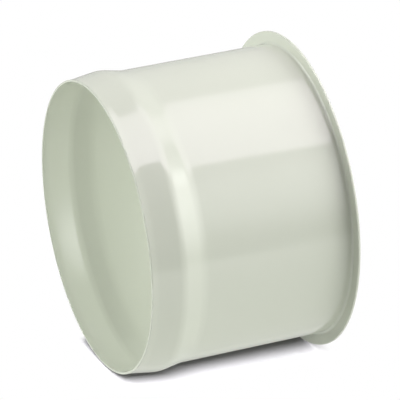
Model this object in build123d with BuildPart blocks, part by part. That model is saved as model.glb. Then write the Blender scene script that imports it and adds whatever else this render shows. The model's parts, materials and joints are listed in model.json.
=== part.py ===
from build123d import *
import os

# Hose connection spigot for sheet-steel ductwork, in millimetres.
# It stands on its lip: the lip's back face is z = 0, the axis is Z and the mouth for the hose is at the top.

# Tube
tube_diameter = 140.0           # outside, the nominal size of the duct and of the hose
overall_length = 101.0          # from the lip's back face to the mouth's rim
wall = 1.0                      # thickness of the painted sheet, the same all over

# Lip turned out at the duct end, for a clamp ring
lip_width = 6.0                 # how far the lip stands out from the tube
lip_bend_radius = 1.2           # in the corner between the tube and the lip's front face

# Bead swaged near the mouth, which keeps the hose from sliding off
mouth_land = 2.0                # straight wall left between the rim and the foot of the bead
bead_crest_from_rim = 15.4      # the wall widens slowly from the land to this crest
bead_end_from_rim = 26.0        # and narrows faster to here, where the straight tube begins
bead_height = 1.95              # of the crest above the tube, before the crest is rounded
bead_foot_radius = 25.0         # hollow curves where the bead leaves the land and the tube
bead_crest_radius = 12.0

# Cut edges of the sheet, rounded by deburring and paint
edge_rounding = 0.3

tube_radius = tube_diameter / 2
lip_radius = tube_radius + lip_width
cut_edge_radius = min(edge_rounding, wall / 3)

with BuildPart() as spigot:
    # Half of the wall's section: the outside line from the rim down to the lip's edge, one wall thick
    with BuildSketch(Plane.XZ):
        with BuildLine() as outside:
            FilletPolyline(
                (tube_radius, overall_length),
                (tube_radius, overall_length - mouth_land),
                (tube_radius + bead_height, overall_length - bead_crest_from_rim),
                (tube_radius, overall_length - bead_end_from_rim),
                (tube_radius, wall),
                (lip_radius, wall),
                radius=[bead_foot_radius, bead_crest_radius, bead_foot_radius, lip_bend_radius],
            )
            offset(amount=wall, side=Side.RIGHT)
        make_face()
    revolve(axis=Axis.Z)

    # The two cut edges of the sheet: the mouth's rim and the edge of the lip
    rim_edges = spigot.faces().sort_by(Axis.Z)[-1].edges()
    lip_edges = spigot.edges().filter_by(
        lambda edge: edge.geom_type == GeomType.CIRCLE and edge.radius > lip_radius - wall / 2
    )
    fillet(rim_edges + lip_edges, radius=cut_edge_radius)
spigot.part.label = "spigot"

os.makedirs("parts", exist_ok=True)
export_step(spigot.part, "parts/spigot.step")
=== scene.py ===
import json
import math

import bmesh
import bpy
from bpy.props import FloatProperty, FloatVectorProperty, IntProperty, PointerProperty
from bpy.types import Operator, Panel, PropertyGroup
from mathutils import Matrix, Vector


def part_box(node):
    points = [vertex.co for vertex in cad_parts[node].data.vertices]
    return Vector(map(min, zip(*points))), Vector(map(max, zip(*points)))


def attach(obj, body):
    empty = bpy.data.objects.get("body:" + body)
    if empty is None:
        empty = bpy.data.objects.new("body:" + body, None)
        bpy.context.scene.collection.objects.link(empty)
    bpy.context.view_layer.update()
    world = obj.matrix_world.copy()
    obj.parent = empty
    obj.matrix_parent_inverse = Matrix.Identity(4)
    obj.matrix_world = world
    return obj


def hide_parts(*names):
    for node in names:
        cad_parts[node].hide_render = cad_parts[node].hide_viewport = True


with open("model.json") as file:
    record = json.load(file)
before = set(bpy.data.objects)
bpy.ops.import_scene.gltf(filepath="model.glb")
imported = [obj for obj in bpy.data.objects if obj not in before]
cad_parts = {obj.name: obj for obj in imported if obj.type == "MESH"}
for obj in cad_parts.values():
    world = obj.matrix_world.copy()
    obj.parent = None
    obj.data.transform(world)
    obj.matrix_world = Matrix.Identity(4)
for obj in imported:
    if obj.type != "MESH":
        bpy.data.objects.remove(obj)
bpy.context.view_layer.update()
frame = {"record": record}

bl_info = {
    "name": "Hose connection spigot",
    "version": (1, 0, 0),
    "blender": (4, 5, 0),
    "location": "View3D > Sidebar > Spigot",
    "description": "Builds a painted sheet-steel duct spigot in its CAD frame, and a plain studio for it",
    "category": "Object",
}

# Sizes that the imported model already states, in metres
CAD_LOW, CAD_HIGH = (Vector(corner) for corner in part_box("spigot"))
MOUNTS = {mount["name"]: mount for mount in frame["record"]["mounts"]}
TUBE_RADIUS = MOUNTS["hose_seat"]["dims"]["r_mm"] / 1000
BORE_RADIUS = MOUNTS["duct_bore"]["dims"]["r_mm"] / 1000
LIP_RADIUS = MOUNTS["lip_rim"]["dims"]["r_mm"] / 1000
MM = 0.001

# Finish of the mesh
BEND_SEGMENTS = 10
CUT_EDGE_SEGMENTS = 3
TUBE_CUTS, FLANK_CUTS, LIP_CUTS = 24, 8, 6
SHARP_ANGLE = math.radians(60)
WELD_DISTANCE = 0.001 * MM

# Soft lights. Edges are left, right, lower and upper, for a light one metre away
LIGHT_DISTANCE = 1.1
OVERHEAD_TILT = math.radians(28)
OVERHEAD_EDGES = (-0.08, 0.80, 0.0, 1.48)
OVERHEAD_CONE = math.radians(130)
FRONT_HEIGHT = math.radians(31)
FRONT_EDGES = (-0.2, 0.2, -0.14, 0.14)
# Beside the spigot: turn from straight behind it, height, half of the angle filled, whether the edges fade
SIDE_LIGHTS = {
    "key": (132, 21, 36, True),
    "wall": (90, 10, 40, False),
    "rim": (295, 11, 32, True)}


def linear(hex_colour):
    """An sRGB hex colour, such as c8cbb8, as the linear values that shaders and lamps take."""
    channels = [int(hex_colour[start:start + 2], 16) / 255 for start in (0, 2, 4)]
    return tuple(c / 12.92 if c <= 0.04045 else ((c + 0.055) / 1.055) ** 2.4 for c in channels)


def add_node(tree, kind, settings=None, inputs=None):
    """Adds a node with its settings. An input given a socket is linked, and any other is set to its value."""
    added = tree.nodes.new(kind)
    for name, value in (settings or {}).items():
        setattr(added, name, value)
    for name, value in (inputs or {}).items():
        if isinstance(value, bpy.types.NodeSocket):
            tree.links.new(value, added.inputs[name])
        else:
            added.inputs[name].default_value = value
    return added


class SpigotSize(PropertyGroup):
    """Sizes of the wall's section, the same as in the CAD model."""

    length: FloatProperty(
        name="Length", description="From the lip's back face to the mouth's rim",
        default=CAD_HIGH.z - CAD_LOW.z, unit="LENGTH", subtype="DISTANCE")
    tube_radius: FloatProperty(
        name="Tube radius", description="Outside of the straight tube",
        default=TUBE_RADIUS, unit="LENGTH", subtype="DISTANCE")
    wall: FloatProperty(
        name="Wall", description="Thickness of the painted sheet",
        default=TUBE_RADIUS - BORE_RADIUS, unit="LENGTH", subtype="DISTANCE")
    lip_radius: FloatProperty(
        name="Lip radius", description="Outer edge of the lip turned out at the duct end",
        default=LIP_RADIUS, unit="LENGTH", subtype="DISTANCE")
    lip_bend: FloatProperty(
        name="Lip bend", description="Radius in the corner between the tube and the lip",
        default=1.2 * MM, unit="LENGTH", subtype="DISTANCE")
    mouth_land: FloatProperty(
        name="Mouth land", description="Straight wall between the rim and the foot of the bead",
        default=2.0 * MM, unit="LENGTH", subtype="DISTANCE")
    bead_crest: FloatProperty(
        name="Bead crest", description="From the rim to the bead's highest line",
        default=15.4 * MM, unit="LENGTH", subtype="DISTANCE")
    bead_end: FloatProperty(
        name="Bead end", description="From the rim to the start of the straight tube",
        default=26.0 * MM, unit="LENGTH", subtype="DISTANCE")
    bead_height: FloatProperty(
        name="Bead height", description="Crest above the tube, before the crest is rounded",
        default=1.95 * MM, unit="LENGTH", subtype="DISTANCE")
    bead_foot: FloatProperty(
        name="Bead foot", description="Radius of the hollow curves at both ends of the bead",
        default=25.0 * MM, unit="LENGTH", subtype="DISTANCE")
    bead_round: FloatProperty(
        name="Bead rounding", description="Radius of the bead's crest",
        default=12.0 * MM, unit="LENGTH", subtype="DISTANCE")
    cut_edge: FloatProperty(
        name="Cut edge", description="Rounding of the sheet's cut edges under the paint",
        default=0.3 * MM, unit="LENGTH", subtype="DISTANCE")
    steps: IntProperty(
        name="Steps", description="Faces round the tube", default=256, min=48, max=360)


class SpigotPaint(PropertyGroup):
    """Colour and finish of the paint."""

    colour: FloatVectorProperty(
        name="Colour", description="The paint's colour",
        default=linear("ced3c5"), size=3, min=0.0, max=1.0, subtype="COLOR")
    thin_colour: FloatVectorProperty(
        name="Thin colour", description="The same paint where it went on a little thinner",
        default=linear("cad0c0"), size=3, min=0.0, max=1.0, subtype="COLOR")
    roughness: FloatProperty(
        name="Roughness", description="Where the paint flowed out best",
        default=0.09, min=0.0, max=1.0, subtype="FACTOR")
    roughness_dull: FloatProperty(
        name="Roughness, dull", description="Where it flowed out least",
        default=0.14, min=0.0, max=1.0, subtype="FACTOR")
    ior: FloatProperty(
        name="IOR", description="Of the paint's clear binder", default=1.6, min=1.0)
    cloud_size: FloatProperty(
        name="Cloud", description="Spacing of the places where the paint is thinner",
        default=60.0 * MM, unit="LENGTH", subtype="DISTANCE")
    flow_size: FloatProperty(
        name="Flow", description="Spacing of the places where the powder flowed out better or worse",
        default=9.0 * MM, unit="LENGTH", subtype="DISTANCE")
    peel_size: FloatProperty(
        name="Orange peel", description="Spacing of the fine waves that the paint dries with",
        default=2.6 * MM, unit="LENGTH", subtype="DISTANCE")
    peel_depth: FloatProperty(
        name="Orange peel depth", description="Height of those waves",
        default=0.006 * MM, unit="LENGTH", subtype="DISTANCE")
    wave_size: FloatProperty(
        name="Sheet wave", description="Spacing of the slow unevenness of rolled sheet",
        default=28.0 * MM, unit="LENGTH", subtype="DISTANCE")
    wave_depth: FloatProperty(
        name="Sheet wave depth", description="Height of that unevenness",
        default=0.09 * MM, unit="LENGTH", subtype="DISTANCE")


class SpigotStage(PropertyGroup):
    """The studio: the spigot lies on its side there, so its floor stands beside it in this frame."""

    floor_side: FloatProperty(
        name="Floor side", description="Direction across the axis in which the floor lies",
        default=math.radians(82), unit="ROTATION", subtype="ANGLE")
    lean: FloatProperty(
        name="Lean", description="Between axis and floor, as it lies on its bead and the edge of its lip",
        default=math.radians(2.822), unit="ROTATION", subtype="ANGLE")
    floor_distance: FloatProperty(
        name="Floor distance", description="From the origin to the floor",
        default=75.955 * MM, unit="LENGTH", subtype="DISTANCE")
    floor_front: FloatProperty(
        name="Floor front", description="From the axis to the edge of the floor towards the viewer",
        default=0.29, unit="LENGTH", subtype="DISTANCE")
    floor_reach: FloatProperty(
        name="Floor reach", description="How far the floor goes to both sides and to the back",
        default=1.6, unit="LENGTH", subtype="DISTANCE")
    floor_colour: FloatVectorProperty(
        name="Floor colour", description="The board's colour, as it throws light up at the spigot",
        default=linear("6c6c6a"), size=3, min=0.0, max=1.0, subtype="COLOR")
    floor_glow: FloatProperty(
        name="Floor glow", description="Share of the board's light that comes through it from below",
        default=0.32, min=0.0, max=1.0, subtype="FACTOR")
    floor_close: FloatProperty(
        name="Floor close", description="Room over the board that makes it plain white for the camera",
        default=10.5 * MM, unit="LENGTH", subtype="DISTANCE")
    floor_closed: FloatProperty(
        name="Floor closed", description="Share of that room which is open where the white begins",
        default=0.6, min=0.0, max=1.0, subtype="FACTOR")
    floor_open: FloatProperty(
        name="Floor open", description="Share of that room which is open where the white is full",
        default=0.95, min=0.0, max=1.0, subtype="FACTOR")
    floor_seen: FloatVectorProperty(
        name="Floor seen", description="The board's colour in the shadow, as the camera shows it",
        default=linear("868588"), size=3, min=0.0, max=1.0, subtype="COLOR")
    view_turn: FloatProperty(
        name="View turn", description="Turn of the view round the floor's upright",
        default=math.radians(22.939), unit="ROTATION", subtype="ANGLE")
    view_height: FloatProperty(
        name="View height", description="Angle of the view down on to the floor",
        default=math.radians(20.744), unit="ROTATION", subtype="ANGLE")
    view_distance: FloatProperty(
        name="View distance", description="From the camera to the mouth, along the view",
        default=1.68136, unit="LENGTH", subtype="DISTANCE")
    view_right: FloatProperty(
        name="View right", description="From the mouth's centre to the middle of the picture, to the right",
        default=48.897 * MM, unit="LENGTH", subtype="DISTANCE")
    view_up: FloatProperty(
        name="View up", description="From the mouth's centre to the middle of the picture, upwards",
        default=12.868 * MM, unit="LENGTH", subtype="DISTANCE")
    lens: FloatProperty(
        name="Lens", description="Focal length for a 36 mm frame", default=324.0, unit="CAMERA")
    overhead_colour: FloatVectorProperty(
        name="Overhead colour", description="Its tubes are a little pinker than the other lights",
        default=linear("fff5ff"), size=3, min=0.0, max=1.0, subtype="COLOR")
    overhead: FloatProperty(
        name="Overhead", description="Brightness of the large soft light above", default=4.2, min=0.0)
    key: FloatProperty(
        name="Key", description="Brightness of the soft light in front of the lip, at its middle",
        default=3.6, min=0.0)
    wall: FloatProperty(
        name="Wall", description="Brightness of the white wall beyond the lip", default=2.3, min=0.0)
    rim: FloatProperty(
        name="Rim", description="Brightness of the soft light behind the mouth, at its middle",
        default=8.6, min=0.0)
    front: FloatProperty(
        name="Front", description="Brightness of the low light in front, which lights the floor alone",
        default=225.0, min=0.0)
    sweep: FloatProperty(
        name="Sweep", description="Brightness of the white sweep behind", default=0.15, min=0.0)
    sweep_seen: FloatProperty(
        name="Sweep seen", description="How white the sweep shows in reflections",
        default=0.45, min=0.0, max=1.0, subtype="FACTOR")
    sweep_edge: FloatProperty(
        name="Sweep edge", description="Cosine over which the sweep fades into the room",
        default=0.35, min=0.0, max=1.0, subtype="FACTOR")
    room: FloatProperty(
        name="Room", description="Brightness of the room on the viewer's side", default=0.16, min=0.0)


def gloss_powder_coat(paint):
    """Gloss powder coat on rolled sheet steel.

    It gives the eye a pale grey-green body colour, a clear white reflection of the lights on top of it, and
    in that reflection the fine ripple of orange peel and the slow unevenness of the sheet below.
    """
    material = bpy.data.materials.new("gloss_powder_coat_on_sheet_steel")
    material.use_nodes = True
    tree = material.node_tree
    tree.nodes.clear()
    place = add_node(tree, "ShaderNodeTexCoord").outputs["Object"]
    # Paint of uneven thickness: broad clouds that shift the colour by a percent or two
    cloud = add_node(tree, "ShaderNodeTexNoise", inputs={
        "Vector": place, "Scale": 1 / paint.cloud_size, "Detail": 2.0, "Roughness": 0.5})
    colour = add_node(tree, "ShaderNodeMix", {"data_type": "RGBA"}, {
        0: cloud.outputs["Fac"], 6: (*paint.colour, 1.0), 7: (*paint.thin_colour, 1.0)})
    # Flow of the melted powder: small patches, a little glossier or duller
    flow = add_node(tree, "ShaderNodeTexNoise", inputs={
        "Vector": place, "Scale": 1 / paint.flow_size, "Detail": 3.0, "Roughness": 0.6})
    gloss = add_node(tree, "ShaderNodeMapRange", inputs={
        "Value": flow.outputs["Fac"], "From Min": 0.3, "From Max": 0.7,
        "To Min": paint.roughness, "To Max": paint.roughness_dull})
    wave = add_node(tree, "ShaderNodeTexNoise", inputs={
        "Vector": place, "Scale": 1 / paint.wave_size, "Detail": 0.0})
    sheet = add_node(tree, "ShaderNodeBump", inputs={
        "Height": wave.outputs["Fac"], "Distance": paint.wave_depth, "Strength": 1.0})
    peel = add_node(tree, "ShaderNodeTexNoise", inputs={
        "Vector": place, "Scale": 1 / paint.peel_size, "Detail": 1.0, "Roughness": 0.4})
    skin = add_node(tree, "ShaderNodeBump", inputs={
        "Height": peel.outputs["Fac"], "Distance": paint.peel_depth, "Strength": 1.0,
        "Normal": sheet.outputs["Normal"]})
    surface = add_node(tree, "ShaderNodeBsdfPrincipled", inputs={
        "Base Color": colour.outputs[2], "Roughness": gloss.outputs["Result"],
        "Normal": skin.outputs["Normal"], "IOR": paint.ior})
    add_node(tree, "ShaderNodeOutputMaterial", inputs={"Surface": surface.outputs["BSDF"]})
    return material


class SPIGOT_OT_shell(Operator):
    """Draw the outside line of the wall, spin it round the axis and give it the sheet's thickness"""

    bl_idname = "spigot.shell"
    bl_label = "Spigot shell"

    def execute(self, context):
        size = context.scene.spigot_size
        mesh = bpy.data.meshes.new("spigot_shell")
        bm = bmesh.new()

        # Outside line from the rim down over the bead and the tube, and out along the lip's front face
        corners = [bm.verts.new((radius, 0.0, height)) for radius, height in (
            (size.tube_radius, size.length),
            (size.tube_radius, size.length - size.mouth_land),
            (size.tube_radius + size.bead_height, size.length - size.bead_crest),
            (size.tube_radius, size.length - size.bead_end),
            (size.tube_radius, size.wall),
            (size.lip_radius, size.wall))]
        for start, end in zip(corners, corners[1:]):
            bm.edges.new((start, end))

        # Each corner gets its own radius: a bevel's width along the line is the radius times tan(turn / 2)
        radii = (size.bead_foot, size.bead_round, size.bead_foot, size.lip_bend)
        widths = []
        for before, corner, after, radius in zip(corners, corners[1:], corners[2:], radii):
            turn = (corner.co - before.co).angle(after.co - corner.co)
            widths.append(radius * math.tan(turn / 2))
        for corner, width in zip(corners[1:-1], widths):
            bmesh.ops.bevel(
                bm, geom=[corner], offset=width, offset_type="OFFSET", segments=BEND_SEGMENTS, profile=0.5,
                affect="VERTICES", clamp_overlap=False, material=-1)

        # Straight stretches are divided, so that the smooth shading stays true to the curves beside them:
        # the tube is the only one over half the length, then come the bead's flanks, and then the lip
        for longest, cuts in (
                (size.length * 0.5, TUBE_CUTS),
                (size.bead_crest * 0.5, FLANK_CUTS),
                (size.lip_bend * 3, LIP_CUTS)):
            stretches = [edge for edge in bm.edges if edge.calc_length() > longest]
            bmesh.ops.subdivide_edges(bm, edges=stretches, cuts=cuts)

        bmesh.ops.spin(
            bm, geom=bm.verts[:] + bm.edges[:], cent=(0, 0, 0), axis=(0, 0, 1), angle=math.tau,
            steps=size.steps, use_merge=True)
        bmesh.ops.remove_doubles(bm, verts=bm.verts[:], dist=WELD_DISTANCE)
        bmesh.ops.recalc_face_normals(bm, faces=bm.faces[:])
        bmesh.ops.solidify(bm, geom=bm.faces[:], thickness=size.wall)

        # The sheet's cut edges, at the rim and round the lip
        sharp = [edge for edge in bm.edges if edge.calc_face_angle(0.0) > SHARP_ANGLE]
        bmesh.ops.bevel(
            bm, geom=sharp, offset=size.cut_edge, offset_type="OFFSET",
            segments=CUT_EDGE_SEGMENTS, profile=0.5, affect="EDGES", clamp_overlap=True, material=-1)
        for face in bm.faces:
            face.smooth = True

        if any(not edge.is_manifold for edge in bm.edges) or bm.calc_volume(signed=True) <= 0:
            raise RuntimeError("The shell isn't a closed wall with its faces outwards")
        bm.to_mesh(mesh)
        bm.free()

        piece = bpy.data.objects.new("spigot_shell", mesh)
        context.scene.collection.objects.link(piece)
        mesh.materials.append(gloss_powder_coat(context.scene.spigot_paint))
        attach(piece, "root")
        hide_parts("spigot")
        return {"FINISHED"}


def stage_axes(stage):
    """Up from the floor, along the tube to its lip, and away from the viewer, as the spigot lies there."""
    across = Vector((math.cos(stage.floor_side), math.sin(stage.floor_side), 0.0))
    up = -(math.cos(stage.lean) * across + math.sin(stage.lean) * Vector((0.0, 0.0, 1.0)))
    along = Vector((0.0, 0.0, -1.0))
    along = (along - along.dot(up) * up).normalized()
    return up, along, up.cross(along)


def matt_board(stage):
    """Matt white board with some light from below.

    It gives the eye a plain white ground and a narrow dark seam of shadow where the spigot touches it. It has
    no back, so that views from below it show the spigot too.
    """
    material = bpy.data.materials.new("matt_white_board")
    material.use_nodes = True
    tree = material.node_tree
    tree.nodes.clear()
    camera = add_node(tree, "ShaderNodeLightPath").outputs["Is Camera Ray"]
    colour = add_node(tree, "ShaderNodeMix", {"data_type": "RGBA"}, {
        0: camera, 6: (*stage.floor_colour, 1.0), 7: (*stage.floor_seen, 1.0)})
    board = add_node(tree, "ShaderNodeBsdfDiffuse", inputs={"Color": colour.outputs[2]})
    glow = add_node(tree, "ShaderNodeEmission", inputs={"Strength": 1.0})
    # For the camera the board is plain white, except close under the spigot, where the lamps have to light it
    room = add_node(tree, "ShaderNodeAmbientOcclusion", {"samples": 24}, {"Distance": stage.floor_close})
    white = add_node(tree, "ShaderNodeMapRange", {"interpolation_type": "SMOOTHSTEP"}, {
        "Value": room.outputs["AO"], "From Min": stage.floor_closed, "From Max": stage.floor_open,
        "To Min": 0.0, "To Max": 1.0})
    share = add_node(tree, "ShaderNodeMix", {"data_type": "FLOAT"}, {
        0: camera, 2: stage.floor_glow, 3: white.outputs["Result"]})
    front = add_node(tree, "ShaderNodeMixShader", inputs={
        0: share.outputs[0], 1: board.outputs[0], 2: glow.outputs[0]})
    clear = add_node(tree, "ShaderNodeBsdfTransparent")
    geometry = add_node(tree, "ShaderNodeNewGeometry")
    behind = add_node(tree, "ShaderNodeMath", {"operation": "MULTIPLY"}, {
        0: camera, 1: geometry.outputs["Backfacing"]})
    surface = add_node(tree, "ShaderNodeMixShader", inputs={
        0: behind.outputs[0], 1: front.outputs[0], 2: clear.outputs[0]})
    add_node(tree, "ShaderNodeOutputMaterial", inputs={"Surface": surface.outputs[0]})
    return material


def studio_world(stage, away):
    """White to the camera; to the paint, a white sweep behind the spigot and a dim room in front."""
    world = bpy.data.worlds.new("studio")
    world.use_nodes = True
    tree = world.node_tree
    tree.nodes.clear()
    path = add_node(tree, "ShaderNodeLightPath")
    place = add_node(tree, "ShaderNodeTexCoord").outputs["Generated"]
    facing = add_node(tree, "ShaderNodeVectorMath", {"operation": "DOT_PRODUCT"}, {0: place, 1: away})
    behind = add_node(tree, "ShaderNodeMapRange", {"interpolation_type": "SMOOTHSTEP"}, {
        "Value": facing.outputs["Value"], "From Min": -stage.sweep_edge, "From Max": stage.sweep_edge,
        "To Min": 0.0, "To Max": 1.0})
    light = add_node(tree, "ShaderNodeMix", {"data_type": "FLOAT"}, {
        0: behind.outputs["Result"], 2: stage.room, 3: stage.sweep})
    # The sweep shows in reflections too, but dimmer than to the camera
    mirrored = add_node(tree, "ShaderNodeMath", {"operation": "MAXIMUM"}, {
        0: path.outputs["Is Glossy Ray"], 1: path.outputs["Is Transmission Ray"]})
    reflected = add_node(tree, "ShaderNodeMath", {"operation": "MULTIPLY"}, {
        0: mirrored.outputs[0], 1: behind.outputs["Result"]})
    dimmed = add_node(tree, "ShaderNodeMath", {"operation": "MULTIPLY"}, {
        0: reflected.outputs[0], 1: stage.sweep_seen})
    white = add_node(tree, "ShaderNodeMath", {"operation": "MAXIMUM"}, {
        0: path.outputs["Is Camera Ray"], 1: dimmed.outputs[0]})
    strength = add_node(tree, "ShaderNodeMix", {"data_type": "FLOAT"}, {
        0: white.outputs[0], 2: light.outputs[0], 3: 1.0})
    back = add_node(tree, "ShaderNodeBackground", inputs={
        "Color": (1.0, 1.0, 1.0, 1.0), "Strength": strength.outputs[0]})
    add_node(tree, "ShaderNodeOutputWorld", inputs={"Surface": back.outputs[0]})
    return world


def soft_light(context, name, target, out, across, edges, radiance, cone=math.pi):
    """A rectangular soft light that lies out from the target and faces back along the same line.

    Its edges are given from that line for a light one metre away. A lamp of one radiance takes pi watts for
    each square metre. In a cone of less than a half turn the light is brightest straight ahead and fades to
    nothing at the cone's edge, which takes fewer watts.
    """
    left, right, lower, upper = (edge * LIGHT_DISTANCE for edge in edges)
    over = out.cross(across)
    data = bpy.data.lights.new(name, "AREA")
    data.shape = "RECTANGLE"
    data.size = right - left
    data.size_y = upper - lower
    data.spread = cone
    share = 1 - cone / 2 / math.tan(cone / 2) if cone < math.pi else 1.0
    data.energy = math.pi * data.size * data.size_y * radiance * share
    lamp = bpy.data.objects.new(name, data)
    centre = target + out * LIGHT_DISTANCE + across * (left + right) / 2 + over * (lower + upper) / 2
    lamp.matrix_world = Matrix.Translation(centre) @ Matrix((across, over, out)).transposed().to_4x4()
    context.scene.collection.objects.link(lamp)
    return lamp


class SPIGOT_OT_stage(Operator):
    """Lay a white board under the spigot, hang the soft lights and set up the camera"""

    bl_idname = "spigot.stage"
    bl_label = "Studio"

    def execute(self, context):
        scene = context.scene
        stage = scene.spigot_stage
        size = scene.spigot_size
        up, along, away = stage_axes(stage)
        middle = Vector((0.0, 0.0, size.length / 2))

        # Floor: a sheet from one face, from its front edge to the back
        mesh = bpy.data.meshes.new("floor_board")
        bm = bmesh.new()
        bmesh.ops.create_grid(bm, x_segments=1, y_segments=1, size=0.5)
        depth = stage.floor_front + stage.floor_reach
        centre = -up * stage.floor_distance + away * (depth / 2 - stage.floor_front)
        lay = Matrix((along * stage.floor_reach * 2, away * depth, -up)).transposed().to_4x4()
        bmesh.ops.transform(bm, matrix=Matrix.Translation(centre) @ lay, verts=bm.verts[:])
        for face in bm.faces:
            face.normal_update()
            if face.normal.dot(up) < 0:
                face.normal_flip()
        bm.to_mesh(mesh)
        bm.free()
        floor = bpy.data.objects.new("floor_board", mesh)
        mesh.materials.append(matt_board(stage))
        scene.collection.objects.link(floor)

        # The view's own right and ahead, level with the floor
        right = math.cos(stage.view_turn) * along - math.sin(stage.view_turn) * away
        ahead = math.sin(stage.view_turn) * along + math.cos(stage.view_turn) * away

        # Overhead light, square to the view: it hangs to the right and is brightest along its near edge
        overhead = soft_light(
            context, "light_overhead", middle, math.cos(OVERHEAD_TILT) * up - math.sin(OVERHEAD_TILT) * ahead,
            right, OVERHEAD_EDGES, stage.overhead, OVERHEAD_CONE)
        overhead.data.color = stage.overhead_colour

        # Lights beside the spigot
        for name, (turn, height, half, fades) in SIDE_LIGHTS.items():
            turn, height, half = math.radians(turn), math.radians(height), math.radians(half)
            level = math.cos(turn) * away + math.sin(turn) * along
            out = math.cos(height) * level + math.sin(height) * up
            reach = math.tan(half)
            soft_light(
                context, f"light_{name}", middle, out, up.cross(level), (-reach, reach, -reach, reach),
                getattr(stage, name), 2 * half if fades else math.pi)

        # Low light in front of the spigot for the floor alone: it thins the shadow down to a narrow seam
        front = soft_light(
            context, "light_front", middle, math.sin(FRONT_HEIGHT) * up - math.cos(FRONT_HEIGHT) * ahead,
            right, FRONT_EDGES, stage.front)
        lit = bpy.data.collections.new("lit_by_front")
        lit.objects.link(floor)
        front.light_linking.receiver_collection = lit

        scene.world = studio_world(stage, away)

        # Camera
        look = math.cos(stage.view_height) * ahead - math.sin(stage.view_height) * up
        top = math.sin(stage.view_height) * ahead + math.cos(stage.view_height) * up
        data = bpy.data.cameras.new("camera")
        data.sensor_width = 36.0
        data.lens = stage.lens
        camera = bpy.data.objects.new("camera", data)
        mouth = Vector((0.0, 0.0, size.length))
        place = mouth + stage.view_right * right + stage.view_up * top - stage.view_distance * look
        camera.matrix_world = Matrix.Translation(place) @ Matrix((right, top, -look)).transposed().to_4x4()
        scene.collection.objects.link(camera)
        scene.camera = camera
        scene.view_settings.view_transform = "Standard"
        return {"FINISHED"}


class SPIGOT_PT_parts(Panel):
    """The spigot and its studio, in the order in which they are made"""

    bl_idname = "SPIGOT_PT_parts"
    bl_label = "Hose connection spigot"
    bl_space_type = "VIEW_3D"
    bl_region_type = "UI"
    bl_category = "Spigot"

    def draw(self, context):
        scene = context.scene
        groups = (
            (SPIGOT_OT_shell, (scene.spigot_size, scene.spigot_paint)),
            (SPIGOT_OT_stage, (scene.spigot_stage,)))
        for operator, settings in groups:
            column = self.layout.column(align=True)
            for group in settings:
                for name in group.__annotations__:
                    column.prop(group, name)
            column.operator(operator.bl_idname)


CLASSES = (SpigotSize, SpigotPaint, SpigotStage, SPIGOT_OT_shell, SPIGOT_OT_stage, SPIGOT_PT_parts)


def register():
    for kind in CLASSES:
        bpy.utils.register_class(kind)
    bpy.types.Scene.spigot_size = PointerProperty(type=SpigotSize)
    bpy.types.Scene.spigot_paint = PointerProperty(type=SpigotPaint)
    bpy.types.Scene.spigot_stage = PointerProperty(type=SpigotStage)


def unregister():
    del bpy.types.Scene.spigot_stage
    del bpy.types.Scene.spigot_paint
    del bpy.types.Scene.spigot_size
    for kind in reversed(CLASSES):
        bpy.utils.unregister_class(kind)


def main():
    register()
    bpy.ops.spigot.shell()
    bpy.ops.spigot.stage()


if __name__ == "__main__":
    main()
